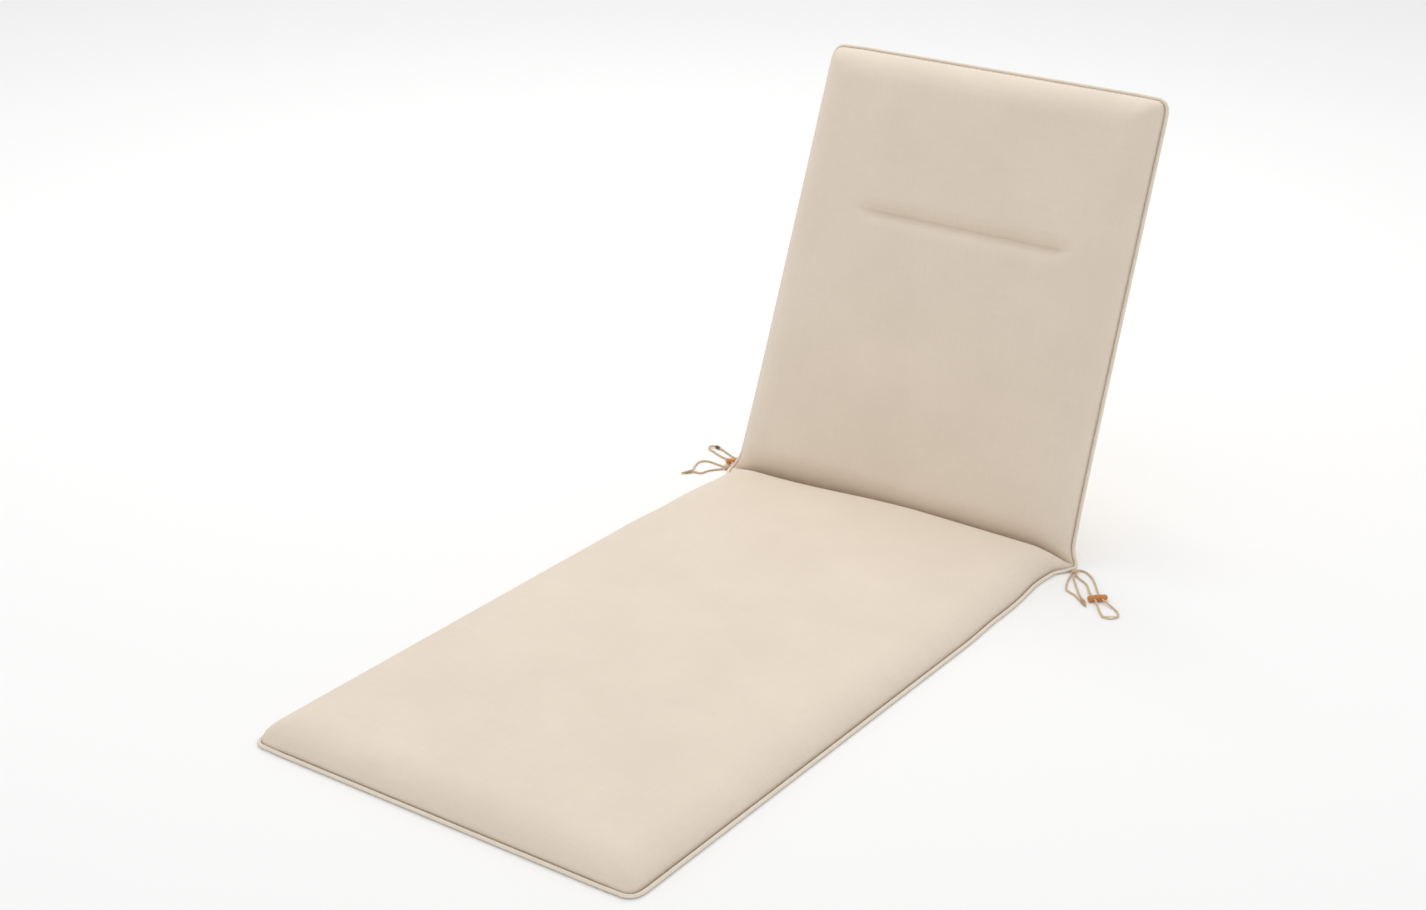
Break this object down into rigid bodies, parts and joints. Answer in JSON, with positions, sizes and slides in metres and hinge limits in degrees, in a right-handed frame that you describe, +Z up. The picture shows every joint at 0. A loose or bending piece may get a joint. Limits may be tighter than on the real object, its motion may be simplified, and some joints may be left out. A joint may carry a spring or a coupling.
{
  "type": "sun lounger cushion",
  "caption": "Filled cushion for a sun lounger: a long seat part with its back part folded up at a sewn line, a piped edge, a stitched channel across the back, and toggle ties at the fold.",
  "frame": {"origin": "on the surface the cushion lies on, at the middle of the outline of its cushion and piping", "axes": "+Y from the foot edge to the head, +X across to the cushion's right as one looks from the foot to the head, +Z up"},
  "size_m": [0.8288, 1.3484, 0.6691],
  "materials": {
    "cover_fabric": "matte woven cotton, cream",
    "piping_fabric": "matte woven cotton, slightly lighter cream",
    "tie_cord": "braided cord, natural tan",
    "toggle_wood": "turned, glossy orange-brown lacquer",
    "tie_end": "satin, brown"
  },
  "bodies": {
    "root": {"cushion": "cover_fabric", "piping": "piping_fabric", "tie_root_right": "tie_cord", "tie_root_left": "tie_cord", "cord_right_plain_near": "tie_cord", "cord_right_plain_far": "tie_cord", "cord_right_toggle_loop": "tie_cord", "cord_left_plain_near": "tie_cord", "cord_left_plain_far": "tie_cord", "cord_left_toggle_loop": "tie_cord", "toggle_right": "toggle_wood", "toggle_left": "toggle_wood", "tie_tip_right": "tie_end", "tie_tip_left": "tie_end", "loop_sleeve_right": "tie_end", "loop_sleeve_left": "tie_end"}
  },
  "joints": []
}
